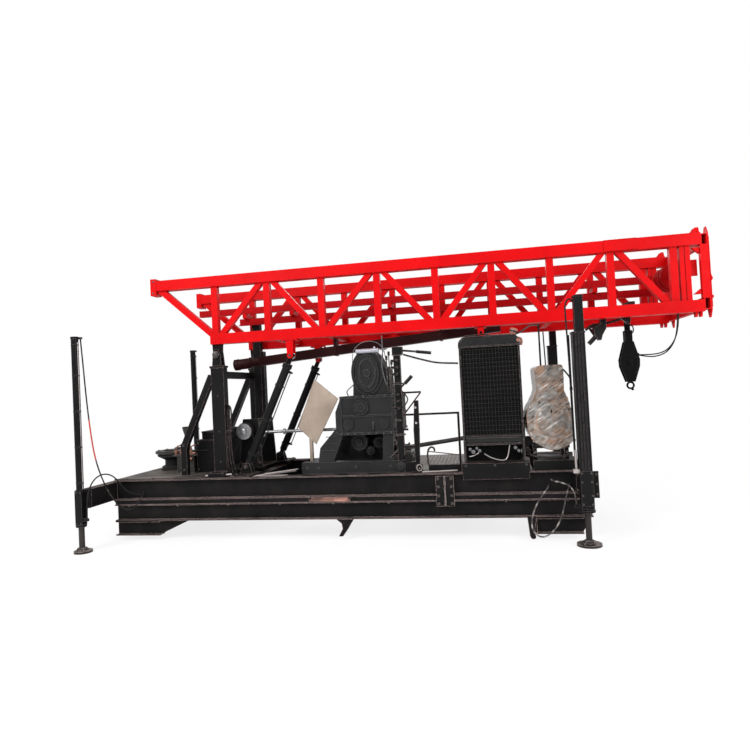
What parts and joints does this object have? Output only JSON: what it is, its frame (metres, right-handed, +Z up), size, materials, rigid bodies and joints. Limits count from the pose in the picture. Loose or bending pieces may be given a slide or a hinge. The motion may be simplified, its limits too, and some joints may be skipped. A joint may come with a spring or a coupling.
{
  "type": "skid-mounted water well drilling rig",
  "caption": "Rotary drilling rig for water wells on a double-beam skid with jack legs, a folded lattice mast and open drawworks, engine and table.",
  "frame": {"origin": "on the ground under the middle of the machine, halfway between the left foot pads and the tip of the mast head", "axes": "+X along the skid from the well end to the mast tip, +Y across away from the control side, +Z up"},
  "size_m": [7.3198, 3.0498, 3.335],
  "materials": {
    "black_paint": "satin",
    "worn_steel": "worn",
    "red_paint": "gloss",
    "dark_cast": "rough",
    "brown_steel": "satin",
    "brass": "dull",
    "bright_steel": "polished",
    "tan_sheet": "faded",
    "fan_metal": "satin",
    "film": "wrinkled",
    "hose_rubber": "matt"
  },
  "bodies": {
    "base": {"air_cleaner": "black_paint", "brake_cylinder": "bright_steel", "brass_fittings": "brass", "case_bosses": "dark_cast", "case_cover": "dark_cast", "control_stand": "black_paint", "deck_plates": "worn_steel", "end_hoses": "hose_rubber", "engine_block": "dark_cast", "engine_rails": "black_paint", "exhaust": "dark_cast", "gear_case": "dark_cast", "gear_hangers": "black_paint", "left_boxes": "black_paint", "leg_hoses": "hose_rubber", "leg_tubes_left": "black_paint", "leg_tubes_right": "black_paint", "luff_feet": "black_paint", "mast_pins": "worn_steel", "mast_posts": "black_paint", "radiator_base": "black_paint", "radiator_core": "black_paint", "radiator_tanks": "black_paint", "sheet_guard": "tan_sheet", "skid_frame": "black_paint", "table_body": "dark_cast", "tool_shelf": "black_paint", "unit_pipes": "black_paint", "unit_stand": "black_paint", "winch_frame": "black_paint", "wrapped_unit": "film"},
    "mast": {"mast_frame": "red_paint", "mast_guides": "red_paint", "kelly_bar": "brown_steel", "kelly_hangers": "brown_steel", "hook_hanger": "black_paint", "crown_shaft": "worn_steel", "pipe_tong": "worn_steel", "mast_hoses": "hose_rubber"},
    "leg_ln": {"leg_left_near": "worn_steel"},
    "leg_lf": {"leg_left_far": "worn_steel"},
    "leg_rn": {"leg_right_near": "worn_steel"},
    "leg_rf": {"leg_right_far": "worn_steel"},
    "barrel_near": {"luff_barrel_near": "black_paint"},
    "barrel_far": {"luff_barrel_far": "black_paint"},
    "ram_near": {"luff_ram_near": "worn_steel"},
    "ram_far": {"luff_ram_far": "worn_steel"},
    "table_rotor": {"table_ring": "worn_steel"},
    "winch_rotor": {"winch_drum": "worn_steel"},
    "fan": {"engine_fan": "fan_metal"},
    "low_shaft": {"lower_gear": "worn_steel"},
    "long_shaft": {"drive_shaft": "worn_steel"},
    "hook": {"hook_block": "black_paint"},
    "hook_wheel": {"hook_sheave": "worn_steel"},
    "crown": {"crown_sheaves": "worn_steel"}
  },
  "joints": [
    {"name": "mast_raise", "type": "hinge", "parent": "base", "child": "mast", "pos_m": [-2.15, 0, 2.27], "axis": [0, -1, 0], "range_deg": [0, 90]},
    {"name": "luff_swing_near", "type": "hinge", "parent": "base", "child": "barrel_near", "pos_m": [-1.82, -0.616, 0.85], "axis": [0, -1, 0], "range_deg": [0, 32.11]},
    {"name": "luff_extend_near", "type": "slide", "parent": "barrel_near", "child": "ram_near", "axis": [0.4271, 0, 0.9042], "range_m": [0, 0.9081]},
    {"name": "luff_swing_far", "type": "hinge", "parent": "base", "child": "barrel_far", "pos_m": [-1.82, 0.616, 0.85], "axis": [0, -1, 0], "range_deg": [0, 32.11]},
    {"name": "luff_extend_far", "type": "slide", "parent": "barrel_far", "child": "ram_far", "axis": [0.4271, 0, 0.9042], "range_m": [0, 0.9081]},
    {"name": "leg_left_near_down", "type": "slide", "parent": "base", "child": "leg_ln", "axis": [0, 0, -1], "range_m": [0, 1.2]},
    {"name": "leg_left_far_down", "type": "slide", "parent": "base", "child": "leg_lf", "axis": [0, 0, -1], "range_m": [0, 1.2]},
    {"name": "leg_right_near_down", "type": "slide", "parent": "base", "child": "leg_rn", "axis": [0, 0, -1], "range_m": [0, 1.2]},
    {"name": "leg_right_far_down", "type": "slide", "parent": "base", "child": "leg_rf", "axis": [0, 0, -1], "range_m": [0, 1.2]},
    {"name": "table_spin", "type": "hinge", "parent": "base", "child": "table_rotor", "pos_m": [-3.165, 0, 1], "axis": [0, 0, 1], "continuous": true},
    {"name": "winch_spin", "type": "hinge", "parent": "base", "child": "winch_rotor", "pos_m": [-1.915, -0.08, 1.275], "axis": [0, 1, 0], "continuous": true},
    {"name": "fan_spin", "type": "hinge", "parent": "base", "child": "fan", "pos_m": [1.2225, -0.63, 1.64], "axis": [0, 1, 0], "continuous": true},
    {"name": "low_shaft_spin", "type": "hinge", "parent": "base", "child": "low_shaft", "pos_m": [-0.385, -0.3, 1.1], "axis": [0, 1, 0], "continuous": true},
    {"name": "hook_swing", "type": "hinge", "parent": "mast", "child": "hook", "pos_m": [2.83, -0.3, 2.455], "axis": [0, 1, 0], "range_deg": [-50, 50], "deforming": ["mast_hoses"]},
    {"name": "hook_wheel_spin", "type": "hinge", "parent": "hook", "child": "hook_wheel", "pos_m": [2.83, -0.3, 1.905], "axis": [0, 1, 0], "continuous": true},
    {"name": "long_shaft_spin", "type": "hinge", "parent": "base", "child": "long_shaft", "pos_m": [0.09, -0.5, 1], "axis": [0.9916, 0, 0.1295], "continuous": true},
    {"name": "crown_spin", "type": "hinge", "parent": "mast", "child": "crown", "pos_m": [3.42, 0, 2.9], "axis": [0, 1, 0], "continuous": true}
  ],
  "couplings": [
    {"joint": "luff_swing_near", "follows": "mast_raise", "ratio": 0.35122},
    {"joint": "luff_extend_near", "follows": "mast_raise", "m_per_rad": 0.57684},
    {"joint": "luff_swing_far", "follows": "mast_raise", "ratio": 0.35122},
    {"joint": "luff_extend_far", "follows": "mast_raise", "m_per_rad": 0.57684}
  ]
}
